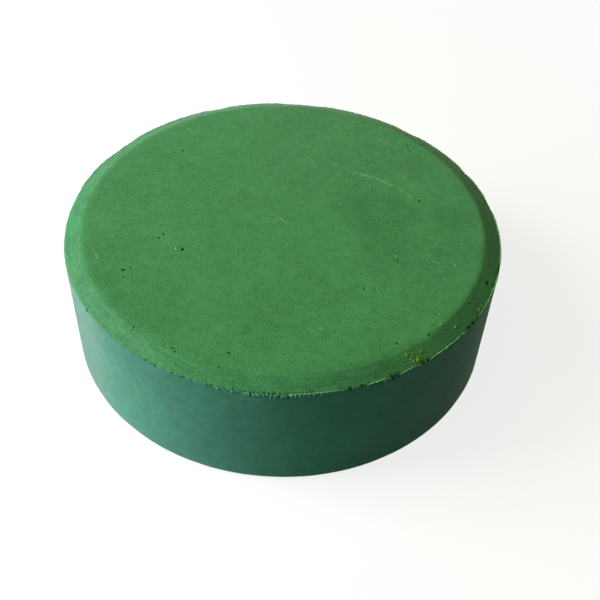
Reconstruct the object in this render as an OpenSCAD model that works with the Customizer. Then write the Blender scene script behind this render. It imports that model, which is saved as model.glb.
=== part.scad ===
// A pressed puck of shaving soap, in millimetres, standing on its base.
// The origin is the middle of the base, +Z is up, and the lather face is on top.
// One cake of soap carries everything else: the feather of flash that the press left
// round its shoulder, and the bits of soap that cling to it.

/* [Cake] */
// Diameter of the cake
cake_d = 76; // [56:1:110]
// Height of the cake, from the base to the lather face
cake_h = 23.5; // [14:0.5:40]
// Radius of the rounded edge round the base
base_edge_r = 0.7; // [0.2:0.1:2.5]

/* [Bevel] */
// Width of the bevel round the lather face, seen from above
bevel_w = 3.2; // [1.5:0.1:7]
// Height from the shoulder up to the lather face
bevel_drop = 1.5; // [0.8:0.1:4]
// Radius that softens the corner between the bevel and the lather face
bevel_soft_r = 2.5; // [0.5:0.1:5]

/* [Flash] */
// Thickness of the flash at its root
flash_t = 0.3; // [0.15:0.05:0.6]
// Height of the flash above the shoulder
flash_h = 0.45; // [0.3:0.05:1]
// Share of the flash's thickness that is left at its tip
flash_tip_share = 0.4; // [0.2:0.1:1]

/* [Flakes] */
// Thickness of the flakes of flash that are folded down over the side
flake_t = 0.1; // [0.05:0.05:0.2]
// How far a whole flake hangs down the side
flake_drop = 1; // [0.5:0.1:2]
// Width of a whole flake along the shoulder
flake_w = 1.1; // [0.5:0.1:2]

/* [Crumbs and flecks] */
// Size of the largest yellow crumb on the bevel
crumb_size = 1.1; // [0.6:0.1:2]
// Size of the largest pale fleck on the lather face
fleck_size = 0.8; // [0.4:0.1:1.5]
// Share of a crumb or fleck that stands out of the soap
proud_share = 0.35; // [0.25:0.05:0.5]

/* [Pinholes and chips] */
// Radius of the largest pinhole at the surface
pinhole_r = 0.6; // [0.3:0.05:1]
// Share of a pinhole's radius that it is deep
pinhole_depth_share = 0.8; // [0.4:0.1:1]
// Length of the longest chip in the shoulder
chip_length = 1.8; // [0.8:0.1:3]
// Depth of the chips, measured into the side
chip_depth = 0.35; // [0.1:0.05:0.6]

/* [Hidden] */
$fn = 48;
// Finer facets for what is turned about the cake's own axis
turned_fn = 240;

cake_r = cake_d / 2;
shoulder_z = cake_h - bevel_drop;
face_r = cake_r - bevel_w;
bevel_angle = atan2(bevel_drop, bevel_w);
arc_steps = 6;

// Pinholes in the lather face: share of face_r from the middle, bearing, share of pinhole_r
pinholes = [
    [0.54, 207, 1.0], [0.85, 208, 1.0], [0.81, 206.5, 0.6], [0.60, 194, 0.7], [0.63, 196, 0.5],
    [0.94, 42, 0.8], [0.89, 44.5, 0.6], [0.96, 63, 0.7], [0.92, 302, 0.6], [0.60, 310, 0.7],
    [0.72, 14, 0.8], [0.78, 136, 0.7], [0.80, 139, 0.5], [0.92, 256, 0.7], [0.62, 333, 0.5],
    [0.05, 160, 0.5], [0.89, 242, 0.6], [0.77, 252, 0.5], [0.80, 288, 0.5], [0.38, 220, 0.5]
];

// Pits in the bevel: share of bevel_w in from the shoulder, bearing, share of pinhole_r
bevel_pits = [[0.45, 338, 1.0], [0.60, 322, 0.6], [0.50, 277, 0.6], [0.70, 268, 0.6], [0.35, 214, 0.5]];

// Chips broken out of the shoulder: bearing, share of chip_length
chips = [
    [215.5, 0.5], [269, 0.6], [273.5, 0.5], [277.5, 0.6], [286.3, 0.7], [289, 0.5], [297.3, 1.0],
    [306, 0.9], [323, 0.8], [345, 0.6], [26, 0.5], [112, 0.7]
];

// Stretches of shoulder where the flash still stands: first bearing, last bearing
flash_runs = [
    [-88, -75], [-70, -63.8], [-61.5, -55.3], [-52.8, -39], [-34, -16], [-14, 9],
    [13, 25], [27.5, 48], [53, 80], [91, 110], [114, 141], [151, 168]
];

// Flakes folded down over the side: bearing, share of flake_w, share of flake_drop
flakes = [
    [-104, 0.7, 0.5], [-100.5, 1.0, 0.7], [-97.5, 0.8, 1.0], [-94.5, 0.9, 0.8],
    [-91, 0.7, 0.9], [-80.5, 0.7, 0.6], [-65.5, 1.0, 0.5], [-51, 0.8, 0.6]
];

// Yellow crumbs: share of bevel_w in from the shoulder, bearing, share of crumb_size, turn
crumbs = [
    [0.24, -55.5, 1.0, 20], [0.66, -57.5, 0.6, 75], [0.50, -53.5, 0.5, 130],
    [0.48, -41, 0.7, 50], [0.20, -31.5, 0.8, 110], [0.25, 148, 1.0, 15]
];

// Pale flecks: share of face_r from the middle, bearing, share of fleck_size, turn
flecks = [
    [0.57, 205, 1.0, 10], [0.01, 240, 0.7, 45], [0.88, 340, 0.6, 80], [0.60, 335.5, 0.6, 120],
    [0.78, 339, 0.5, 30], [0.83, 335, 0.5, 65], [0.76, 283.5, 0.7, 100], [0.93, 126, 0.5, 140]
];

// Points of an arc about the centre [x, y], from one angle to the other
function arc(x, y, r, from, to) = [
    for (i = [0:arc_steps]) let (a = from + (to - from) * i / arc_steps) [x + r * cos(a), y + r * sin(a)]
];

// Height of the bevel's surface over a point that lies a distance in from the shoulder
function bevel_z(inset) = shoulder_z + inset * tan(bevel_angle);

// Half of the cake's section: base, side, bevel and lather face
function cake_section() = concat(
    [[0, 0]],
    arc(cake_r - base_edge_r, base_edge_r, base_edge_r, -90, 0),
    [[cake_r, shoulder_z]],
    arc(
        face_r - bevel_soft_r * tan(bevel_angle / 2), cake_h - bevel_soft_r,
        bevel_soft_r, 90 - bevel_angle, 90
    ),
    [[0, cake_h]]
);

// Section of the flash, with its root lying on the bevel and its back in line with the side
function flash_section() = [
    [cake_r - flash_t, bevel_z(flash_t)],
    [cake_r, shoulder_z],
    [cake_r, shoulder_z + flash_h],
    [cake_r - flash_t * flash_tip_share, shoulder_z + flash_h]
];

// The cake before its pinholes and chips
module cake_blank() {
    rotate_extrude($fn = turned_fn) polygon(cake_section());
}

// A ball-shaped hollow in the surface that passes through the origin
module pit(r) {
    translate([0, 0, r * (1 - pinhole_depth_share)]) sphere(r);
}

// Puts its children on the lather face
module on_face(share, bearing) {
    rotate(bearing) translate([face_r * share, 0, cake_h]) children();
}

// Puts its children on the bevel, leaning with it
module on_bevel(share, bearing) {
    rotate(bearing) translate([cake_r - bevel_w * share, 0, bevel_z(bevel_w * share)])
        rotate([0, bevel_angle, 0]) children();
}

// A wedge-shaped chip out of the shoulder, open to the side and to the bevel
module chip(bearing, length) {
    rotate(bearing) translate([cake_r, 0, shoulder_z])
        rotate([0, 45, 0]) cube([chip_depth * sqrt(2), length, chip_depth * sqrt(2)], center = true);
}

module soap_cake() {
    color("#4a8653") difference() {
        cake_blank();
        for (p = pinholes) on_face(p[0], p[1]) pit(pinhole_r * p[2]);
        for (p = bevel_pits) on_bevel(p[0], p[1]) pit(pinhole_r * p[2]);
        for (c = chips) chip(c[0], chip_length * c[1]);
    }
}

// The feather of soap that was squeezed out between the punch and its sleeve
module rim_flash() {
    color("#6fa476") difference() {
        for (run = flash_runs)
            rotate(run[0]) rotate_extrude(angle = run[1] - run[0], $fn = turned_fn) polygon(flash_section());
        for (c = chips) chip(c[0], chip_length * c[1]);
    }
}

// Bits of that feather which were folded down and smeared on the side
module rim_flakes() {
    color("#5f9a78") for (f = flakes) {
        span = flake_w * f[1] / cake_r * 180 / PI;
        rotate(f[0] - span / 2) rotate_extrude(angle = span, $fn = turned_fn) polygon([
            [cake_r, shoulder_z],
            [cake_r, shoulder_z - flake_drop * f[2]],
            [cake_r + flake_t, shoulder_z - flake_drop * f[2] / 2]
        ]);
    }
}

// A chunky grain with flat broken faces, resting on the surface that passes through the origin
module grain(size, turn) {
    translate([0, 0, size * (proud_share - 0.5)]) rotate(turn) intersection() {
        rotate([12, -8, 0]) cube(size * [1, 0.7, 0.9], center = true);
        rotate([-15, 20, 55]) cube(size * [0.8, 0.9, 1], center = true);
        rotate([25, 10, 100]) cube(size * [0.75, 1, 0.95], center = true);
    }
}

// Crumbs of yellow soap pressed against the bevel and the rim
module rim_crumbs() {
    color("#a8b85c") difference() {
        for (c = crumbs) on_bevel(c[0], c[1]) grain(crumb_size * c[2], c[3]);
        cake_blank();
        rotate_extrude($fn = turned_fn) polygon(flash_section());
    }
}

// Pale grains of undissolved soap that lie on the lather face
module top_flecks() {
    color("#93c08c") difference() {
        for (f = flecks) on_face(f[0], f[1]) grain(fleck_size * f[2], f[3]);
        cake_blank();
    }
}

soap_cake();
rim_flash();
rim_flakes();
rim_crumbs();
top_flecks();
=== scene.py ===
import math

import bpy
import numpy as np
from mathutils import Matrix, Vector


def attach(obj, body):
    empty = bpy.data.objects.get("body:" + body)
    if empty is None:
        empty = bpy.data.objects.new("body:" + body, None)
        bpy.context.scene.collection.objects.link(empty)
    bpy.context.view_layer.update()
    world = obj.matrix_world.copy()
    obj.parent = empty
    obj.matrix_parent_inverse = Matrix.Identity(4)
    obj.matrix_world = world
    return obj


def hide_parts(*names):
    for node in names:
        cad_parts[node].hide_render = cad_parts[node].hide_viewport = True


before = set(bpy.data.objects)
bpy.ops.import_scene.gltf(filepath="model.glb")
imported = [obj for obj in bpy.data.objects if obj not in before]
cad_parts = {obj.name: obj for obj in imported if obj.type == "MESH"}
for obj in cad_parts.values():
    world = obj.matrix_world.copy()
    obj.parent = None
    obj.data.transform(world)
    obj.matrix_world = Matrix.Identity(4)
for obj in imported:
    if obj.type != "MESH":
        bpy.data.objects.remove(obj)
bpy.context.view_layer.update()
mm = 0.001
soapIor = 1.46
draw = np.random.default_rng(76)  # for loose marks and the fringe; ripple and makeGrain have their own seeds


def say(text):
    print("shaving puck:", text)


def deselectAll():
    if bpy.context.object and bpy.context.object.mode != "OBJECT":
        bpy.ops.object.mode_set(mode="OBJECT")
    bpy.ops.object.select_all(action="DESELECT")


def makeActive(piece):
    deselectAll()
    piece.select_set(True)
    bpy.context.view_layer.objects.active = piece


def spots(piece):
    # every vertex's place in millimetres
    flat = np.empty(len(piece.data.vertices) * 3)
    piece.data.vertices.foreach_get("co", flat)
    return flat.reshape(-1, 3) / mm


def moveSpots(piece, places):
    piece.data.vertices.foreach_set("co", (places * mm).ravel())
    piece.data.update()


def editWith(piece, chosen, kind="VERT"):
    # opens edit mode with just the chosen vertices or faces selected
    makeActive(piece)
    mesh = piece.data
    for group in (mesh.vertices, mesh.edges, mesh.polygons):
        group.foreach_set("select", np.zeros(len(group), dtype=bool))
    group = mesh.vertices if kind == "VERT" else mesh.polygons
    group.foreach_set("select", np.asarray(chosen, dtype=bool))
    bpy.ops.object.mode_set(mode="EDIT")
    bpy.ops.mesh.select_mode(type=kind)


def faceMiddles(piece):
    flat = np.empty(len(piece.data.polygons) * 3)
    piece.data.polygons.foreach_get("center", flat)
    return flat.reshape(-1, 3) / mm


def smoothStep(x, low, high):
    t = np.clip((x - low) / (high - low), 0, 1)
    return t * t * (3 - 2 * t)


def ripple(angles, waves, seed):
    # a smooth closed curve round the puck, about -1 to 1, with that many waves at its finest
    own = np.random.default_rng(seed)
    total = np.zeros_like(angles)
    weight = 0
    for octave in range(3):
        count = max(1, int(waves / 2**octave))
        share = 0.7**octave
        for near in range(4):
            total += share * np.sin((count + near) * angles + own.uniform(0, 2 * math.pi))
        weight += share * 4
    return total / (0.5 * weight)


def givePiece(piece, name, node, material):
    piece.name = name
    piece.data.name = name
    piece.data.materials.clear()
    piece.data.materials.append(material)
    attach(piece, "root")
    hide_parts(node)
    say(f"{name} has {sum(len(p.vertices) - 2 for p in piece.data.polygons)} triangles")


def toLinear(hexColour):
    parts = [int(hexColour[i : i + 2], 16) / 255 for i in (1, 3, 5)]
    return [*(c / 12.92 if c <= 0.04045 else ((c + 0.055) / 1.055) ** 2.4 for c in parts), 1]


def addNode(tree, kind, settings=None, links=None):
    node = tree.nodes.new("ShaderNode" + kind)
    for key, value in (settings or {}).items():
        if isinstance(key, str) and hasattr(node, key):
            setattr(node, key, value)
        else:
            node.inputs[key].default_value = value
    for key, source in (links or {}).items():
        tree.links.new(source, node.inputs[key])
    return node


def perMm(size):
    # texture scale at which one cell or wave is that many millimetres
    return 1 / (size * mm)


def newMaterial(name):
    material = bpy.data.materials.new(name)
    material.use_nodes = True
    tree = material.node_tree
    tree.nodes.clear()
    shader = addNode(tree, "BsdfPrincipled")
    shader.inputs["IOR"].default_value = soapIor
    addNode(tree, "OutputMaterial", links={"Surface": shader.outputs["BSDF"]})
    return material, tree, shader


puck = {
    "radius": 38.0,
    "height": 23.5,
    "bevelWidth": 3.2,
    "bevelDrop": 1.5,
    "baseEdge": 0.7,
    "around": 800,  # vertices round the puck; a quarter of them lie along each side of the face's grid
}
shoulderZ = puck["height"] - puck["bevelDrop"]
faceRadius = puck["radius"] - puck["bevelWidth"]

soapLook = {
    "face": "#42824c",
    "bevel": "#427e50",
    # bluer than the face: partly the burnished side's own colour, partly a painted cool reflection
    "side": "#3d8367",
    "stain": "#36753f",  # the darker patch in the face
    "paintedReflection": "#8f8c88",  # painted reflection: greys the left of the side and the bevel, as a pale room mirrored there would
    "shadeUnderShoulder": "#1f4a40",  # painted shade: darkens the side under the shoulder, at the lower left
    "shadeRoundCrumbs": "#56652b",  # painted shade: darkens the bevel round the crumbs
    "hollow": "#153a1f",  # painted shade in the bottoms of pits, chips and notches, and in the pinhole dots
    "paleMark": "#7cae80",  # scratches and smears
    "faceRoughness": 0.8,
    "sideRoughness": 0.6,
    "specular": 0.04,
    "bloom": 0.18,  # how much of the dry powdery haze shows at a low angle
    "bloomRoughness": 0.5,
    "ringGap": 0.4,  # from ring to ring on the bevel
    "sideGrain": 0.28,  # how strong the grain is on the burnished side
    "grainDepth": 0.035,
    "ringDepth": 0.07,
}


def soapMaterial():
    # Milled shaving soap, pressed in a die: a dry matt face with a fine open grain, rings from the die's lip
    # on the bevel, and a side burnished by sliding out of the sleeve, so smoother. The side's bluer colour
    # is partly its own and partly a painted cool reflection.
    material, tree, shader = newMaterial("pressedShavingSoap")
    look = soapLook
    place = addNode(tree, "TexCoord").outputs["Object"]
    high = addNode(tree, "SeparateXYZ", links={0: place}).outputs[2]
    flat = addNode(tree, "VectorMath", {"operation": "MULTIPLY", 1: (1, 1, 0)}, {0: place}).outputs[0]
    reach = addNode(tree, "VectorMath", {"operation": "LENGTH"}, {0: flat}).outputs["Value"]
    bearing = addNode(tree, "VectorMath", {"operation": "NORMALIZE"}, {0: flat}).outputs[0]

    # rings round the bevel: a noise stretched along the bearing
    across = addNode(tree, "Math", {"operation": "MULTIPLY", 1: perMm(look["ringGap"])}, {0: reach})
    across = addNode(tree, "CombineXYZ", links={2: across.outputs[0]})
    ringPlace = addNode(
        tree, "VectorMath", {"operation": "MULTIPLY_ADD", 1: (6, 6, 6)}, {0: bearing, 2: across.outputs[0]}
    )

    # noises: broad clouds of 10 mm, a middle layer of 1.6 mm, and the pressed grain, which is finer
    # than this on the real soap and is drawn at 0.32 mm so that it shows
    noises = {}
    for name, scale, detail, rough, where in [
        ("clouds", perMm(10), 3, 0.55, place),
        ("middle", perMm(1.6), 3, 0.6, place),
        ("grain", perMm(0.32), 2, 0.7, place),
        ("rings", 1, 2, 0.6, ringPlace.outputs[0]),
    ]:
        settings = {"Scale": scale, "Detail": detail, "Roughness": rough}
        noises[name] = addNode(tree, "TexNoise", settings, {"Vector": where}).outputs[0]
    # pinholes too small to model: about one cell in three has a dark dot, a dip in the bump with painted
    # shade in the colour
    cells = addNode(tree, "TexVoronoi", {"Scale": perMm(1.3)}, {"Vector": place})
    cellDraw = addNode(tree, "SeparateColor", links={0: cells.outputs["Color"]}).outputs[0]

    # soft steps from one range to another
    steps = {}
    for name, source, low, top, toLow, toTop in [
        ("bevel", reach, (faceRadius - 0.15) * mm, (faceRadius + 0.35) * mm, 0, 1),
        ("side", high, (shoulderZ - 0.25) * mm, (shoulderZ + 0.05) * mm, 1, 0),
        ("clouds", noises["clouds"], 0.3, 0.7, 0.94, 1.06),
        ("middle", noises["middle"], 0.25, 0.75, 0.90, 1.10),
        ("grain", noises["grain"], 0.25, 0.75, 0.76, 1.20),
        ("dot", cells.outputs["Distance"], 0.06, 0.13, 0.5, 0),
        ("rare", cellDraw, 0.62, 0.64, 0, 1),
        ("rings", noises["rings"], 0.3, 0.7, -0.1, 0.1),
    ]:
        settings = {"interpolation_type": "SMOOTHSTEP", 1: low, 2: top, 3: toLow, 4: toTop}
        steps[name] = addNode(tree, "MapRange", settings, {0: source}).outputs[0]

    # 1 where the grain is open, less on the burnished side
    openness = addNode(
        tree,
        "Math",
        {"operation": "MULTIPLY_ADD", 1: look["sideGrain"] - 1, 2: 1},
        {0: steps["side"]},
    ).outputs[0]
    dots = addNode(tree, "Math", {"operation": "MULTIPLY"}, {0: steps["dot"], 1: steps["rare"]}).outputs[0]
    dots = addNode(tree, "Math", {"operation": "MULTIPLY"}, {0: dots, 1: openness}).outputs[0]
    ringShare = addNode(tree, "Math", {"operation": "MULTIPLY"}, {0: steps["bevel"], 1: openness}).outputs[0]
    ringTone = addNode(
        tree, "Math", {"operation": "MULTIPLY_ADD", 2: 1}, {0: steps["rings"], 1: ringShare}
    ).outputs[0]
    grainTone = addNode(
        tree, "Mix", {"data_type": "FLOAT", 2: 1}, {0: openness, 3: steps["grain"]}
    ).outputs[0]
    tone = steps["clouds"]
    for other in (steps["middle"], grainTone, ringTone):
        tone = addNode(tree, "Math", {"operation": "MULTIPLY"}, {0: tone, 1: other}).outputs[0]

    # colour attributes made in shapeCake: the stain and the pale marks, painted shade and painted reflection
    marks = {}
    for name in ("stain", "hollow", "paleMark", "paintedReflection", "shadeUnderShoulder", "shadeRoundCrumbs"):
        marks[name] = addNode(tree, "Attribute", {"attribute_name": name}).outputs["Fac"]
    colour = addNode(
        tree,
        "Mix",
        {"data_type": "RGBA", 6: toLinear(look["face"]), 7: toLinear(look["bevel"])},
        {0: steps["bevel"]},
    ).outputs[2]
    # the side's colour (partly a painted cool reflection) and the stain, then painted reflection, painted
    # shade under the shoulder and painted shade round the crumbs
    for share, other in [
        (steps["side"], "side"),
        (marks["stain"], "stain"),
        (marks["paintedReflection"], "paintedReflection"),
        (marks["shadeUnderShoulder"], "shadeUnderShoulder"),
        (marks["shadeRoundCrumbs"], "shadeRoundCrumbs"),
    ]:
        colour = addNode(
            tree, "Mix", {"data_type": "RGBA", 7: toLinear(look[other])}, {0: share, 6: colour}
        ).outputs[2]
    colour = addNode(
        tree, "Mix", {"data_type": "RGBA", "blend_type": "MULTIPLY", 0: 1.0}, {6: colour, 7: tone}
    ).outputs[2]
    # painted shade in the pinhole dots, pits, chips and notches, then the pale marks
    for share, other in [(dots, "hollow"), (marks["hollow"], "hollow"), (marks["paleMark"], "paleMark")]:
        colour = addNode(
            tree, "Mix", {"data_type": "RGBA", 7: toLinear(look[other])}, {0: share, 6: colour}
        ).outputs[2]
    tree.links.new(colour, shader.inputs["Base Color"])

    settings = {3: look["faceRoughness"], 4: look["sideRoughness"]}
    roughness = addNode(tree, "MapRange", settings, {0: steps["side"]}).outputs[0]
    tree.links.new(roughness, shader.inputs["Roughness"])

    height = addNode(tree, "Math", {"operation": "MULTIPLY"}, {0: noises["grain"], 1: openness}).outputs[0]
    height = addNode(
        tree, "Math", {"operation": "MULTIPLY_ADD", 1: -2}, {0: dots, 2: height}
    ).outputs[0]
    fine = addNode(
        tree, "Bump", {"Strength": 1.0, "Distance": look["grainDepth"] * mm}, {"Height": height}
    ).outputs[0]
    ringHeight = addNode(
        tree, "Math", {"operation": "MULTIPLY"}, {0: noises["rings"], 1: ringShare}
    ).outputs[0]
    ringed = addNode(
        tree,
        "Bump",
        {"Strength": 1.0, "Distance": look["ringDepth"] * mm},
        {"Height": ringHeight, "Normal": fine},
    ).outputs[0]
    tree.links.new(ringed, shader.inputs["Normal"])
    shader.inputs["Specular IOR Level"].default_value = look["specular"]
    shader.inputs["Sheen Weight"].default_value = look["bloom"]
    shader.inputs["Sheen Roughness"].default_value = look["bloomRoughness"]
    return material


wear = {
    "loosePinholes": 40,  # small ones that lie anywhere
    "looseReach": 33,  # as far out as those lie
    "looseNicks": 70,
    "tornFringe": (262.4, 278.2, 1.1),  # first and last bearing, and the step from gap to gap
    "besideFringe": (234, 262, 1.6),
    "scratchDepth": 0.05,
    "rimWaver": 0.05,
    "handlingWaves": (7.0, 0.10, 1),  # size, depth and how many finer layers
    "openGrainWaves": (0.9, 0.04, 2),
    "stainLobes": [(16, 0.5, 11, 9, 0.6), (28.5, 0.5, 5, 6, 0.4)],  # place, half sizes, share
}
# Pinholes in the face: place across and along in millimetres, radius, depth
pinholes = [
    (-16.8, -8.6, 0.34, 0.36), (-26.0, -13.9, 0.30, 0.30), (-24.9, -13.3, 0.18, 0.2),
    (-20.4, -5.0, 0.26, 0.26), (-21.2, -5.8, 0.22, 0.22), (26.2, 23.4, 0.26, 0.25),
    (23.4, 22.9, 0.22, 0.22), (23.7, 21.3, 0.22, 0.22), (15.2, 29.8, 0.22, 0.22),
    (18.0, -28.4, 0.24, 0.24), (13.3, -16.1, 0.18, 0.22), (13.4, -16.8, 0.18, 0.22),
    (24.3, 6.1, 0.28, 0.28), (23.1, -26.3, 0.22, 0.22), (-19.5, 19.0, 0.26, 0.25),
    (-20.9, 18.3, 0.18, 0.18), (-22.6, -26.4, 0.2, 0.2), (-7.7, -31.2, 0.17, 0.20),
    (19.3, -9.7, 0.18, 0.20), (-16.1, -30.5, 0.17, 0.18), (8.5, -26.5, 0.17, 0.20),
    (-1.8, 0.6, 0.2, 0.20), (31.3, 16.7, 0.24, 0.22), (29.1, 19.4, 0.2, 0.20),
    (20.7, 20.2, 0.2, 0.20), (34.0, -13.6, 0.4, 0.36), (30.4, -18.9, 0.26, 0.25),
    (-5.4, -25.9, 0.14, 0.15), (-7.7, -31.3, 0.14, 0.15), (-22.8, -26.9, 0.2, 0.18),
    (-16.5, -30.4, 0.16, 0.16), (-15.9, -31.1, 0.19, 0.18), (-9.1, -33.9, 0.14, 0.14),
    (-18.7, -29.8, 0.12, 0.14), (-23.5, -25.4, 0.12, 0.14),
]  # fmt: skip
for _ in range(wear["loosePinholes"]):
    span = wear["looseReach"] * math.sqrt(draw.uniform())
    turn = draw.uniform(0, 2 * math.pi)
    pinholes.append((span * math.cos(turn), span * math.sin(turn), draw.uniform(0.1, 0.17), 0.15))

# Pale scratches: points they run through, half width, how pale
scratches = [
    ([(8.6, 16.5), (10.7, 15.3), (12.9, 13.8)], 0.3, 0.22),
    ([(12.6, 14.0), (15.2, 12.9), (17.4, 11.8), (19.7, 10.2), (21.4, 8.7)], 0.4, 0.78),
    ([(22.1, 8.0), (22.9, 7.3)], 0.3, 0.6),
    ([(-0.9, 0.2), (-0.2, -0.3), (0.3, -0.9)], 0.2, 0.7),
    ([(28.5, -10.2), (29.2, -10.8)], 0.22, 0.5),
    ([(18.8, -8.4), (19.2, -8.9)], 0.2, 0.5),
    ([(25.2, -9.8), (25.9, -10.1)], 0.2, 0.4),
    ([(26.2, -11.9), (26.7, -12.3)], 0.18, 0.4),
    ([(5.9, -25.6), (6.6, -25.8)], 0.2, 0.6),
    ([(-19.5, 26.2), (-18.9, 26.0)], 0.22, 0.4),
    ([(-31.5, -10.2), (-30.8, -11.4)], 0.25, 0.4),
    ([(24.7, -24.2), (25.2, -24.0)], 0.2, 0.7),
    ([(24.4, -22.1), (24.8, -21.9)], 0.18, 0.6),
]
# Tints on the side, and on the bevel where the height is the face's. All but the pale marks are painted
# shade and painted reflections, in place of light that the lamps don't give: kind, first and last bearing,
# softness in degrees, height, half height, share
smears = [
    ("paleMark", 260.5, 265.5, 1, 20.45, 0.55, 0.3),
    ("paleMark", 256, 259, 1, 18.9, 0.8, 0.12),
    ("paleMark", 232, 236, 1, 12, 1.6, 0.1),
    # painted reflection on the left of the side and of the bevel
    ("paintedReflection", 160, 221, 11, 8, 45, 0.3),
    ("paintedReflection", 196, 238, 8, puck["height"], 1.2, 0.06),
    # painted shade on the side under the shoulder
    ("shadeUnderShoulder", 226, 248, 10, 21.9, 11, 0.2),
    # painted shade on the bevel round the crumbs
    ("shadeRoundCrumbs", 146, 153, 4, puck["height"], 1.2, 0.3),
    ("shadeRoundCrumbs", 302, 306.5, 1.5, puck["height"], 1.2, 0.2),
]
# Chips along the shoulder: bearing, half length, depth
chips = [
    (215.5, 0.3, 0.2), (269, 0.3, 0.2), (273.5, 0.3, 0.2), (277.5, 0.35, 0.22), (286.3, 0.35, 0.2),
    (289, 0.25, 0.18), (297.5, 0.35, 0.2), (305.5, 0.28, 0.2), (306.8, 0.25, 0.18), (322, 0.35, 0.2),
    (324, 0.3, 0.2), (345, 0.35, 0.2), (26, 0.3, 0.18), (112, 0.35, 0.2), (240.3, 0.28, 0.12),
    (247.8, 0.4, 0.13), (254.6, 0.4, 0.14), (231, 0.25, 0.1), (263.5, 0.3, 0.14),
]  # fmt: skip
# Notches that run down the side from the shoulder: bearing, lean in degrees, half width, how far
# down, depth
notches = [
    (286.3, 0.2, 0.26, 0.5, 0.14), (289, -0.2, 0.22, 0.5, 0.12), (296.5, 0.95, 0.24, 1.2, 0.3),
    (298.6, -0.85, 0.22, 1.1, 0.26), (305.5, 0.3, 0.2, 0.6, 0.14), (306.8, -0.2, 0.2, 0.5, 0.12),
    (322, 0.2, 0.26, 0.5, 0.14), (324, 0, 0.22, 0.5, 0.12),
]  # fmt: skip
for at in np.arange(*wear["tornFringe"]):  # the gaps in the fringe, darkened with painted shade
    place = at + draw.uniform(-0.3, 0.3)
    lean, half = draw.uniform(-0.3, 0.3), draw.uniform(0.12, 0.24)
    notches.append((place, lean, half, draw.uniform(0.4, 1.2), draw.uniform(0.1, 0.18)))
for at in np.arange(*wear["besideFringe"]):  # and the small nicks beside it
    place = at + draw.uniform(-0.5, 0.5)
    lean, half = draw.uniform(-0.2, 0.2), draw.uniform(0.1, 0.2)
    notches.append((place, lean, half, draw.uniform(0.25, 0.5), draw.uniform(0.08, 0.14)))
for _ in range(wear["looseNicks"]):
    chips.append((draw.uniform(0, 360), draw.uniform(0.1, 0.35), draw.uniform(0.04, 0.16)))


def topHeight(reach, bearing):
    # height of the face and bevel at a reach from the axis; the inner corner is softer at the front
    front = smoothStep(-np.sin(bearing), 0.55, 0.98)
    soft = 0.06 + 0.24 * front
    run = (reach - faceRadius) / puck["bevelWidth"]
    ramped = (run + np.sqrt(run**2 + soft**2)) / 2
    full = (1 + np.sqrt(1 + soft**2)) / 2
    return puck["height"] - puck["bevelDrop"] * ramped / full


def nearLine(x, y, line):
    # distance from each point to a line through several points
    best = np.full(x.shape, 1e9)
    for (ax, ay), (bx, by) in zip(line, line[1:]):
        length = (bx - ax) ** 2 + (by - ay) ** 2
        t = np.clip(((x - ax) * (bx - ax) + (y - ay) * (by - ay)) / length, 0, 1)
        best = np.minimum(best, np.hypot(x - ax - t * (bx - ax), y - ay - t * (by - ay)))
    return best


def alongRim(degrees, at):
    # how far along the shoulder each bearing lies from another
    return np.abs((degrees - at + 180) % 360 - 180) * math.radians(1) * puck["radius"]


def makeCake():
    deselectAll()
    start = faceRadius - 1.0
    bpy.ops.mesh.primitive_circle_add(
        vertices=puck["around"], radius=start * mm, location=(0, 0, puck["height"] * mm)
    )
    cake = bpy.context.object
    bpy.ops.object.transform_apply()  # its place goes into the mesh
    bpy.ops.object.mode_set(mode="EDIT")
    bpy.ops.mesh.select_all(action="SELECT")
    bpy.ops.mesh.fill_grid(span=puck["around"] // 4)
    bpy.ops.object.mode_set(mode="OBJECT")

    # the rest of the section, ring by ring outwards and down
    rings = [(start + step, None) for step in np.arange(0.3, puck["bevelWidth"] + 0.55, 0.3)]
    rings += [(puck["radius"] - 0.2, None), (puck["radius"], shoulderZ - 0.02)]
    rings += [(puck["radius"], shoulderZ - fall) for fall in (0.22, 0.45, 0.75, 1.1, 1.5, 2.0, 2.6)]
    rings += [(puck["radius"], z) for z in np.linspace(shoulderZ - 3.4, puck["baseEdge"], 11)]
    for turn in (22, 45, 68, 90):
        inwards = puck["baseEdge"] * (1 - math.cos(math.radians(turn)))
        above = puck["baseEdge"] * (1 - math.sin(math.radians(turn)))
        rings.append((puck["radius"] - inwards, above))
    reach = np.hypot(*spots(cake)[:, :2].T)
    editWith(cake, reach > start - 0.001)
    before, high = start, puck["height"]
    for outTo, down in rings:
        down = high if down is None else down
        bpy.ops.mesh.extrude_edges_move(TRANSFORM_OT_translate={"value": (0, 0, (down - high) * mm)})
        bpy.ops.transform.resize(value=(outTo / before, outTo / before, 1), center_override=(0, 0, 0))
        before, high = outTo, down
    bpy.ops.mesh.edge_face_add()
    bpy.ops.mesh.select_all(action="SELECT")
    bpy.ops.mesh.normals_make_consistent(inside=False)
    bpy.ops.object.mode_set(mode="OBJECT")
    return cake


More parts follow.
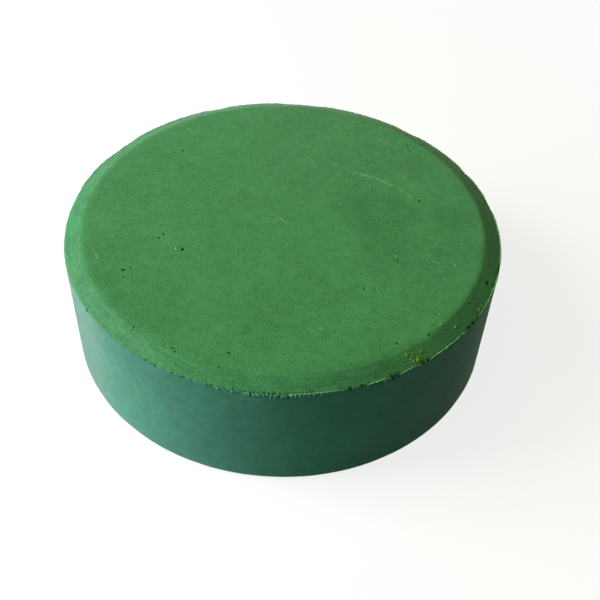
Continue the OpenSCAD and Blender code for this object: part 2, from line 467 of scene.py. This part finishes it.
def refineCake(cake):
    # finer faces where the rim chips, and round each pinhole and scratch
    middle = faceMiddles(cake)
    reach = np.hypot(middle[:, 0], middle[:, 1])
    rim = (reach > puck["radius"] - 0.55) & (middle[:, 2] > shoulderZ - 0.5)
    editWith(cake, rim, "FACE")
    bpy.ops.mesh.subdivide(number_cuts=1)
    bpy.ops.object.mode_set(mode="OBJECT")
    middle = faceMiddles(cake)
    degrees = np.degrees(np.arctan2(middle[:, 1], middle[:, 0])) % 360
    wall = (np.hypot(middle[:, 0], middle[:, 1]) > puck["radius"] - 0.12) & (middle[:, 2] > shoulderZ - 1.3)
    torn = np.zeros(len(middle), dtype=bool)
    for at, lean, _, long, _ in notches:
        beside = np.abs(degrees - at - lean / 2) < 0.9
        torn |= wall & beside & (middle[:, 2] > shoulderZ - long - 0.2)
    editWith(cake, torn, "FACE")
    bpy.ops.mesh.subdivide(number_cuts=2)
    bpy.ops.object.mode_set(mode="OBJECT")
    middle = faceMiddles(cake)
    near = np.zeros(len(middle), dtype=bool)
    onTop = middle[:, 2] > shoulderZ - 0.1
    for x, y, radius, _ in pinholes:
        near |= onTop & (np.hypot(middle[:, 0] - x, middle[:, 1] - y) < radius * 1.1 + 0.1)
    for line, half, _ in scratches:
        near |= onTop & (nearLine(middle[:, 0], middle[:, 1], line) < half + 0.15)
    editWith(cake, near, "FACE")
    bpy.ops.mesh.subdivide(number_cuts=2)
    bpy.ops.object.mode_set(mode="OBJECT")


def shapeCake(cake):
    place = spots(cake)
    reach = np.hypot(place[:, 0], place[:, 1])
    bearing = np.arctan2(place[:, 1], place[:, 0])
    x, y, z = place.T.copy()
    onTop = place[:, 2] > shoulderZ + 0.001
    place[onTop, 2] = topHeight(reach[onTop], bearing[onTop])

    # painted shade in the pits, chips and notches
    hollow = np.zeros(len(place))
    pale = np.zeros(len(place))
    top = smoothStep(place[:, 2], shoulderZ - 0.1, shoulderZ + 0.1)
    for number, (px, py, radius, depth) in enumerate(pinholes):
        away, turn = np.hypot(x - px, y - py), np.arctan2(y - py, x - px)
        edge = radius * (1 + 0.4 * np.sin(2 * turn + number) + 0.2 * np.sin(5 * turn + 2 * number))
        dip = top * (1 - smoothStep(away, edge * 0.2, edge))
        place[:, 2] -= depth * dip
        hollow = np.maximum(hollow, 0.75 * dip)
    for number, (line, half, strength) in enumerate(scratches):
        away = nearLine(x + 0.12 * np.sin(4.4 * y), y + 0.12 * np.sin(3.7 * x), line)
        broken = (0.6 + 0.4 * np.sin(3.1 * x + 2.3 * y + number)) * (0.7 + 0.3 * np.sin(9 * x - 7 * y))
        mark = top * (1 - smoothStep(away, half * 0.3, half))
        place[:, 2] -= wear["scratchDepth"] * mark
        pale = np.maximum(pale, mark * strength * broken)

    # the rim wavers a little and is chipped
    rimAway = np.hypot(np.minimum(puck["radius"] - reach, 3), place[:, 2] - shoulderZ)
    degrees = np.degrees(bearing) % 360
    bite = wear["rimWaver"] * (1 + ripple(bearing, 300, 5)) * (1 - smoothStep(rimAway, 0.05, 0.35))
    chipped = np.zeros(len(place))
    for at, half, depth in chips:
        along = alongRim(degrees, at)
        cut = depth * (1 - smoothStep(along, half * 0.45, half))
        cut *= 1 - smoothStep(rimAway, depth * 0.6, depth * 1.8)
        chipped = np.maximum(chipped, cut)
    for at, lean, half, long, depth in notches:
        down = np.clip((shoulderZ + 0.15 - place[:, 2]) / (long + 0.15), 0, 1)
        along = alongRim(degrees, at + lean * down)
        wide = half * (1 - down**2) + 0.001
        underShoulder = (reach > puck["radius"] - 0.3) & (place[:, 2] > shoulderZ - long)
        cut = depth * (1 - smoothStep(along, wide * 0.3, wide)) * underShoulder * (1 - 0.5 * down)
        chipped = np.maximum(chipped, cut)
    bite = np.maximum(bite, chipped)
    outwards = np.stack([np.cos(bearing), np.sin(bearing)], axis=1)
    place[:, :2] -= outwards * (0.75 * bite)[:, None]
    place[:, 2] -= 0.75 * bite * smoothStep(place[:, 2], shoulderZ - 0.8, shoulderZ)
    # painted shade in the chips and notches
    hollow = np.maximum(hollow, smoothStep(chipped, 0.03, 0.13) * np.where(rimAway > 0.25, 1, 0.65))
    moveSpots(cake, place)

    marks = {"hollow": hollow, "paleMark": pale, "stain": np.zeros(len(place))}
    uneven = 0.25 * np.sin(0.35 * x + 1.7) + 0.2 * np.sin(0.45 * y)
    for px, py, halfX, halfY, strength in wear["stainLobes"]:
        lobe = uneven - np.hypot((x - px) / halfX, (y - py) / halfY)
        marks["stain"] = np.maximum(marks["stain"], strength * smoothStep(lobe, -1.0, -0.45) * top)
    onBevel = smoothStep(reach, faceRadius, faceRadius + 0.6)
    onWall = reach > puck["radius"] - 0.1
    for kind, first, last, soft, high, half, strength in smears:
        across = smoothStep(degrees, first - soft, first + soft)
        across *= 1 - smoothStep(degrees, last - soft, last + soft)
        band = onBevel if high > shoulderZ else onWall
        mark = band * across * (1 - smoothStep(np.abs(z - high), half * 0.3, half))
        marks[kind] = np.maximum(marks.get(kind, 0), strength * mark)
    for name, values in marks.items():
        cake.data.attributes.new(name, "FLOAT", "POINT").data.foreach_set("value", values)


def waveSurface(piece, name, size, depth, fineness):
    # a displacement that only goes inwards, so the puck keeps its size
    texture = bpy.data.textures.new(name, "CLOUDS")
    texture.noise_scale = size * mm
    texture.noise_depth = fineness
    bump = piece.modifiers.new(name, "DISPLACE")
    bump.texture = texture
    bump.texture_coords = "LOCAL"
    bump.mid_level = 1.0
    bump.strength = depth * mm
    makeActive(piece)
    bpy.ops.object.modifier_apply(modifier=name)


say("pressing the cake")
cake = makeCake()
refineCake(cake)
shapeCake(cake)
waveSurface(cake, "handling", *wear["handlingWaves"])
waveSurface(cake, "openGrain", *wear["openGrainWaves"])
makeActive(cake)
bpy.ops.object.shade_smooth_by_angle(angle=math.radians(50))
givePiece(cake, "soapCake", "soap_cake", soapMaterial())


flash = {
    "runs": [
        (-88, -75), (-70, -63.8), (-61.5, -55.3), (-52.8, -39), (-34, -16), (-14, 9),
        (13, 25), (27.5, 48), (53, 80), (91, 110), (114, 141), (151, 168),
    ],
    "thick": 0.3,
    "high": 0.3,
    "step": 0.16,  # from one section to the next, along the shoulder
    "least": 0.03,  # height of the lowest places, so that the two sides never meet
    "look": "#77a67d",
    # painted shade in the cracks
    "deep": "#4a8455",
}  # fmt: skip


def crumbledMaterial(name, hexColour, deepHex, size):
    # The same milled soap where it is torn or crushed: paler, dull and floury, with painted shade down in
    # the cracks, where the bump is low.
    material, tree, shader = newMaterial(name)
    place = addNode(tree, "TexCoord").outputs["Object"]
    coarse = addNode(
        tree, "TexNoise", {"Scale": perMm(size), "Detail": 3.0, "Roughness": 0.65}, {"Vector": place}
    )
    share = addNode(
        tree, "MapRange", {"interpolation_type": "SMOOTHSTEP", 1: 0.3, 2: 0.7}, {0: coarse.outputs[0]}
    )
    # painted shade: the crack colour where the bump is low
    colour = addNode(
        tree,
        "Mix",
        {"data_type": "RGBA", 6: toLinear(deepHex), 7: toLinear(hexColour)},
        {0: share.outputs[0]},
    )
    bump = addNode(tree, "Bump", {"Strength": 1.0, "Distance": 0.04 * mm}, {"Height": coarse.outputs[0]})
    tree.links.new(colour.outputs[2], shader.inputs["Base Color"])
    tree.links.new(bump.outputs[0], shader.inputs["Normal"])
    shader.inputs["Roughness"].default_value = 0.85
    shader.inputs["Specular IOR Level"].default_value = 0.1
    return material


def joinAll(pieces):
    deselectAll()
    for piece in pieces:
        piece.select_set(True)
    bpy.context.view_layer.objects.active = pieces[0]
    bpy.ops.object.join()
    return bpy.context.object


def sealPiece(piece):
    makeActive(piece)
    bpy.ops.object.mode_set(mode="EDIT")
    bpy.ops.mesh.select_all(action="SELECT")
    bpy.ops.mesh.remove_doubles(threshold=0.004 * mm)
    bpy.ops.mesh.normals_make_consistent(inside=False)
    bpy.ops.object.mode_set(mode="OBJECT")


def makeFlash():
    # a six-sided section at the start of each run, spun round the puck's axis to its end
    made = []
    rootIn, rootOut = puck["radius"] - flash["thick"], puck["radius"] - 0.02
    tipIn, tipOut = puck["radius"] - 0.09, puck["radius"] - 0.02
    rootLow = -0.06
    section = [
        (rootOut, rootLow), (rootOut + 0.01, 0.5), (tipOut, 1.0), (tipIn, 1.0),
        (puck["radius"] - 0.2, 0.5), (rootIn, rootLow),
    ]  # fmt: skip
    for first, last in flash["runs"]:
        deselectAll()
        bpy.ops.mesh.primitive_circle_add(
            vertices=len(section), radius=flash["thick"] * mm, fill_type="NGON"
        )
        run = bpy.context.object
        turn = math.radians(first)
        moveSpots(run, np.array([(r * math.cos(turn), r * math.sin(turn), z) for r, z in section]))
        editWith(run, [True] * len(section))
        arc = math.radians(last - first)
        bpy.ops.mesh.spin(
            steps=int(arc * puck["radius"] / flash["step"]), angle=-arc, center=(0, 0, 0), axis=(0, 0, 1)
        )
        bpy.ops.object.mode_set(mode="OBJECT")
        place = spots(run)
        bearing = np.arctan2(place[:, 1], place[:, 0])
        along = (np.degrees(bearing) - first + 180) % 360 - 180
        ends = smoothStep(along, -0.01, 2) * (1 - smoothStep(along, last - first - 2, last - first + 0.01))
        ragged = 0.5 + 0.4 * ripple(bearing, 500, 11) + 0.3 * ripple(bearing, 90, 12)
        front = 0.45 + 0.55 * smoothStep(-np.sin(bearing), -0.4, 0.3)  # lower at the back
        high = np.maximum(flash["high"] * np.clip(ragged, 0.1, 1) * ends * front, flash["least"])
        up = np.clip(place[:, 2], rootLow, 1)
        reach = np.hypot(place[:, 0], place[:, 1])
        inset = puck["radius"] - reach
        seat = shoulderZ + np.minimum(inset, 0.3) * puck["bevelDrop"] / puck["bevelWidth"]
        lean = 0.10 * np.clip(0.5 + ripple(bearing, 160, 13), 0, 1.5) * np.clip(up, 0, 1) ** 2
        reach = reach - lean - 0.06 * (1 - ends)  # each run rises out of the cake and sinks back
        place[:, 0], place[:, 1] = reach * np.cos(bearing), reach * np.sin(bearing)
        place[:, 2] = np.where(up > 0, shoulderZ + high * up, seat - 0.08) - 0.08 * (1 - ends)
        moveSpots(run, place)
        made.append(run)
    lip = joinAll(made)
    sealPiece(lip)
    return lip


say("raising the flash")
lip = makeFlash()
makeActive(lip)
bpy.ops.object.shade_smooth_by_angle(angle=math.radians(40))
crushedSoap = crumbledMaterial("crushedSoap", flash["look"], flash["deep"], 0.5)
givePiece(lip, "rimFlash", "rim_flash", crushedSoap)


flakes = {
    "thick": 0.07,
    "width": 0.42,
    "long": 1.0,
    "curl": 0.045,  # how far a shred's middle stands off the side
    # bearing, share of the width, share of the length, lean
    "places": [
        (-104, 0.8, 0.45, 0.1), (-100.5, 1.0, 0.6, -0.2), (-97.5, 0.9, 0.9, 0.15),
        (-94.5, 0.9, 0.7, -0.1), (-91, 0.8, 0.8, 0.1), (-80.5, 0.7, 0.55, 0.1),
        (-65.5, 0.9, 0.45, 0.2), (-51, 0.7, 0.5, -0.1),
    ],
    "fringe": (-98.0, -82.0, 0.7),  # between these bearings a row of small ones, that many mm apart
    "look": "#86c2a4",
    # painted shade in the cracks
    "deep": "#5a9d82",
}  # fmt: skip


def makeShred():
    # one shred, modelled once: a strip cut from a grid, tapered, curled and given its thickness
    deselectAll()
    bpy.ops.mesh.primitive_grid_add(x_subdivisions=4, y_subdivisions=7, size=1 * mm)
    shred = bpy.context.object
    place = spots(shred)
    down = np.clip(0.5 - place[:, 1], 0, 1)  # 0 at the root, 1 at the tip
    width = flakes["width"] * (1 - 0.45 * down**1.5 + 0.08 * np.sin(9 * down))
    across = place[:, 0] * width
    off = flakes["curl"] * np.sin(math.pi * np.clip(down * 1.1, 0, 1)) + 0.02 * np.cos(8 * place[:, 0])
    moveSpots(shred, np.stack([across, off, -down * flakes["long"]], axis=1))
    makeActive(shred)
    shell = shred.modifiers.new("thickness", "SOLIDIFY")
    shell.thickness = flakes["thick"] * mm
    shell.offset = -1
    bpy.ops.object.modifier_apply(modifier="thickness")
    return shred


def putCopy(model, matrix):
    twin = model.copy()
    twin.data = model.data.copy()
    bpy.context.collection.objects.link(twin)
    twin.data.transform(matrix)
    return twin


def makeFlakes():
    model = makeShred()
    places = list(flakes["places"])
    first, last, gap = flakes["fringe"]
    for at in np.arange(first, last, math.degrees(gap / puck["radius"])):
        place, wide = at + draw.uniform(-0.35, 0.35), draw.uniform(0.6, 1.1)
        places.append((place, wide, draw.uniform(0.35, 0.85), draw.uniform(-0.3, 0.3)))
    made = []
    footReach, footHigh = puck["radius"] - 0.05, shoulderZ - 0.02  # the roots are sunk in the cake
    for at, wide, long, lean in places:
        turn = math.radians(at)
        foot = Vector((footReach * math.cos(turn), footReach * math.sin(turn), footHigh))
        matrix = (
            Matrix.Translation(foot * mm)
            @ Matrix.Rotation(turn - math.pi / 2, 4, "Z")
            @ Matrix.Rotation(lean, 4, "Y")
            @ Matrix.Diagonal((wide, 1, long, 1))
        )
        made.append(putCopy(model, matrix))
    bpy.data.objects.remove(model)
    return joinAll(made)


say("folding the flakes")
shreds = makeFlakes()
makeActive(shreds)
bpy.ops.object.shade_smooth_by_angle(angle=math.radians(40))
foldedSoap = crumbledMaterial("foldedSoap", flakes["look"], flakes["deep"], 0.4)
givePiece(shreds, "rimFlakes", "rim_flakes", foldedSoap)


grains = {
    "crumb": 1.1,
    "fleck": 0.8,
    "proud": 0.26,  # share of a grain that stands out of the soap
    # share of the bevel's width in from the shoulder, bearing, share of the size, turn
    "crumbs": [
        (0.24, -55.5, 0.85, 20), (0.66, -57.5, 0.6, 75), (0.50, -53.5, 0.5, 130),
        (0.48, -41, 0.7, 50), (0.20, -31.5, 0.8, 110), (0.35, 148, 0.7, 15),
        (0.40, -57.0, 0.45, 33), (0.34, -54.4, 0.3, 80), (0.62, -55.9, 0.3, 10), (0.15, -34.0, 0.45, 60),
        (0.30, -56.6, 0.5, 140), (0.47, -56.2, 0.35, 70), (0.36, -55.2, 0.4, 5), (0.55, -57.0, 0.25, 55),
        (0.20, -56.2, 0.3, 120), (0.42, -54.8, 0.25, 160), (0.70, -56.6, 0.2, 15), (0.52, -55.0, 0.22, 45),
        (0.18, -29.6, 0.5, 95), (0.15, 150.5, 0.6, 40), (0.2, 145.5, 0.5, 70),
    ],
    # share of the face's radius, bearing, share of the size, turn
    "flecks": [
        (0.57, 205, 1.0, 10), (0.01, 240, 0.7, 45), (0.88, 340, 0.6, 80), (0.60, 335.5, 0.6, 120),
        (0.78, 339, 0.5, 30), (0.83, 335, 0.5, 65), (0.76, 283.5, 0.7, 100), (0.93, 126, 0.5, 140),
    ],
    # the same as the crumbs' list, for pale flecks that lie on the bevel
    "rimFlecks": [
        (0.25, 148, 0.9, 15), (0.2, 146.4, 0.6, 40), (0.3, 149.8, 0.5, 70), (0.5, -41, 0.5, 30),
    ],
    "crumbLook": "#769a4a",
    # painted shade in the cracks
    "crumbCrackShade": "#50803b",
    "fleckLook": "#84b280",
    # painted shade in the cracks
    "fleckCrackShade": "#77a870",
}  # fmt: skip


def makeGrain(number):
    # a broken grain: a ball roughened by clouds, then cut flat on a few sides
    deselectAll()
    bpy.ops.mesh.primitive_ico_sphere_add(subdivisions=3, radius=0.5 * mm)
    grain = bpy.context.object
    texture = bpy.data.textures.new("grainLumps", "CLOUDS")
    texture.noise_scale = 0.35 * mm
    lumps = grain.modifiers.new("lumps", "DISPLACE")
    lumps.texture, lumps.strength, lumps.mid_level = texture, 0.22 * mm, 0.8
    lumps.texture_coords = "LOCAL"
    bpy.ops.object.modifier_apply(modifier="lumps")
    own = np.random.default_rng(number)
    for cut in range(5):
        normal = own.normal(size=3)
        normal /= np.linalg.norm(normal)
        editWith(grain, [True] * len(grain.data.vertices))
        bpy.ops.mesh.bisect(
            plane_co=tuple(normal * own.uniform(0.24, 0.36) * mm),
            plane_no=tuple(normal),
            use_fill=True,
            clear_outer=True,
        )
        bpy.ops.object.mode_set(mode="OBJECT")
    editWith(grain, [True] * len(grain.data.vertices))
    bpy.ops.mesh.fill_holes(sides=0)
    bpy.ops.mesh.normals_make_consistent(inside=False)
    bpy.ops.object.mode_set(mode="OBJECT")
    return grain


def makeGrains(size, seats):
    models = [makeGrain(number) for number in (3, 8, 21)]
    made = []
    for number, (seat, share, turn) in enumerate(seats):
        scale = size * share
        sunk = Matrix.Translation((0, 0, scale * (grains["proud"] - 0.5) * mm))
        made.append(
            putCopy(
                models[number % 3],
                seat @ sunk @ Matrix.Rotation(math.radians(turn), 4, "Z") @ Matrix.Scale(scale, 4),
            )
        )
    for model in models:
        bpy.data.objects.remove(model)
    return joinAll(made)


def faceSeat(share, at):
    reach, turn = share * faceRadius, math.radians(at)
    return Matrix.Translation(
        Vector((reach * math.cos(turn), reach * math.sin(turn), puck["height"] - 0.06)) * mm
    )


def bevelSeat(share, at):
    reach, turn = puck["radius"] - share * puck["bevelWidth"], math.radians(at)
    lean = math.atan2(puck["bevelDrop"], puck["bevelWidth"])
    high = shoulderZ + share * puck["bevelDrop"] - 0.05
    spot = Vector((reach * math.cos(turn), reach * math.sin(turn), high)) * mm
    return Matrix.Translation(spot) @ Matrix.Rotation(turn, 4, "Z") @ Matrix.Rotation(lean, 4, "Y")


say("scattering the crumbs")
crumbs = makeGrains(grains["crumb"], [(bevelSeat(r, b), s, t) for r, b, s, t in grains["crumbs"]])
driedYellowSoap = crumbledMaterial("driedYellowSoap", grains["crumbLook"], grains["crumbCrackShade"], 0.3)
givePiece(crumbs, "rimCrumbs", "rim_crumbs", driedYellowSoap)
fleckSeats = [(faceSeat(r, b), s, t) for r, b, s, t in grains["flecks"]]
fleckSeats += [(bevelSeat(r, b), s, t) for r, b, s, t in grains["rimFlecks"]]
flecks = makeGrains(grains["fleck"], fleckSeats)
undissolvedSoap = crumbledMaterial("undissolvedSoap", grains["fleckLook"], grains["fleckCrackShade"], 0.3)
givePiece(flecks, "topFlecks", "top_flecks", undissolvedSoap)


studio = {
    "floorTone": 0.22,  # what the floor gives back of the light on it; the rest of its white is its own
    "floorSize": 6000,
    "floorWhite": 1.03,  # just over white, so that the open floor clips to it
    "floorFade": (70, 260),  # from this reach to this one the floor turns to plain white
    "room": (0.027, 0.030, 0.012),
    # name, bearing, height in degrees, width and height of the lamp, power, tint
    "lamps": [
        ("windowLow", 180, 12, (360, 170), 2.1, (0.75, 0.95, 1.32)),
        ("windowHigh", 178, 35, (300, 300), 2.77, (1.0, 1.02, 0.84)),
        ("frontSoft", 228, 15, (320, 220), 0.44, (0.75, 1.15, 1.16)),
        ("overhead", 180, 87, (380, 380), 0.42, (0.95, 1.15, 0.35)),
    ],
    "lampReach": 500,
    "lampAim": 15,  # height on the puck's axis that the lamps look at
}


def seenRays(tree):
    # 1 for the rays that look at a thing or its reflection, 0 for those that light it
    path = addNode(tree, "LightPath")
    seen = path.outputs["Is Camera Ray"]
    for kind in ("Is Glossy Ray", "Is Transmission Ray"):
        seen = addNode(tree, "Math", {"operation": "MAXIMUM"}, {0: seen, 1: path.outputs[kind]}).outputs[0]
    return seen


def makeFloor():
    deselectAll()
    bpy.ops.mesh.primitive_plane_add(size=studio["floorSize"] * mm, location=(0, 0, 0))
    floor = bpy.context.object
    floor.name = "paleFloor"
    material = bpy.data.materials.new("whiteSweep")
    material.use_nodes = True
    tree = material.node_tree
    tree.nodes.clear()
    place = addNode(tree, "TexCoord").outputs["Object"]
    reach = addNode(tree, "VectorMath", {"operation": "LENGTH"}, {0: place}).outputs["Value"]
    near, far = studio["floorFade"]
    fade = addNode(
        tree, "MapRange", {"interpolation_type": "SMOOTHSTEP", 1: near * mm, 2: far * mm}, {0: reach}
    ).outputs[0]
    seen = seenRays(tree)
    tone = studio["floorTone"]
    matt = addNode(tree, "BsdfDiffuse", {"Color": (tone, tone, tone, 1)})
    own = studio["floorWhite"] - tone
    lift = addNode(tree, "Math", {"operation": "MULTIPLY", 1: own}, {0: seen}).outputs[0]
    glow = addNode(tree, "Emission", {"Color": (1, 1, 1, 1)}, {"Strength": lift})
    both = addNode(tree, "AddShader", links={0: matt.outputs[0], 1: glow.outputs[0]})
    white = addNode(tree, "Emission", {"Color": (1, 1, 1, 1)}, {"Strength": seen})
    mixed = addNode(tree, "MixShader", links={0: fade, 1: both.outputs[0], 2: white.outputs[0]})
    addNode(tree, "OutputMaterial", links={"Surface": mixed.outputs[0]})
    floor.data.materials.append(material)


def addLamp(name, bearing, height, size, power, tint):
    # a soft lamp that looks at the middle of the puck
    turn, lift = math.radians(bearing), math.radians(height)
    level = math.cos(lift)
    towards = Vector((math.cos(turn) * level, math.sin(turn) * level, math.sin(lift)))
    place = towards * studio["lampReach"] + Vector((0, 0, studio["lampAim"]))
    deselectAll()
    bpy.ops.object.light_add(type="AREA", location=place * mm)
    lamp = bpy.context.object
    lamp.name = name
    lamp.data.shape = "RECTANGLE"
    lamp.data.size, lamp.data.size_y = (v * mm for v in size)
    lamp.data.energy = power
    lamp.data.color = tint
    lamp.rotation_mode = "QUATERNION"
    lamp.rotation_quaternion = towards.to_track_quat("Z", "Y")


def makeWorld():
    world = bpy.data.worlds.new("paleRoom")
    bpy.context.scene.world = world
    world.use_nodes = True
    tree = world.node_tree
    tree.nodes.clear()
    seen = seenRays(tree)
    room = addNode(tree, "Background", {"Color": (*studio["room"], 1), "Strength": 1.0})
    white = addNode(tree, "Background", {"Color": (1, 1, 1, 1), "Strength": 1.0})
    mixed = addNode(tree, "MixShader", links={0: seen, 1: room.outputs[0], 2: white.outputs[0]})
    addNode(tree, "OutputWorld", links={"Surface": mixed.outputs[0]})


view = {
    "place": (0.0, -121.735, 127.525),
    "tilt": 0.71419,  # down to the middle of the shoulder, in radians
    "nudge": (-0.081114, -0.019871, -0.030981),  # then up, across and rolled
    "lens": 54.76,
    "sensor": 36,
    "nearest": 10,
}


def makeCamera():
    deselectAll()
    bpy.ops.object.camera_add(location=[v * mm for v in view["place"]])
    camera = bpy.context.object
    tilt = view["tilt"]
    aimed = Matrix(
        ((1, 0, 0), (0, math.sin(tilt), math.cos(tilt)), (0, math.cos(tilt), -math.sin(tilt)))
    )
    pitch, yaw, roll = view["nudge"]
    lifted = Matrix.Rotation(pitch, 3, "X") @ Matrix.Rotation(yaw, 3, "Y")
    turned = Matrix.Rotation(roll, 3, "Z") @ lifted @ aimed
    axes = Matrix((turned[0], turned[1], -turned[2])).transposed()
    camera.rotation_mode = "QUATERNION"
    camera.rotation_quaternion = axes.to_quaternion()
    camera.data.lens = view["lens"]
    camera.data.sensor_width = view["sensor"]
    camera.data.clip_start = view["nearest"] * mm
    bpy.context.scene.camera = camera


say("laying out the studio")
makeFloor()
makeWorld()
for lamp in studio["lamps"]:
    addLamp(*lamp)
makeCamera()
bpy.context.scene.view_settings.view_transform = "Standard"
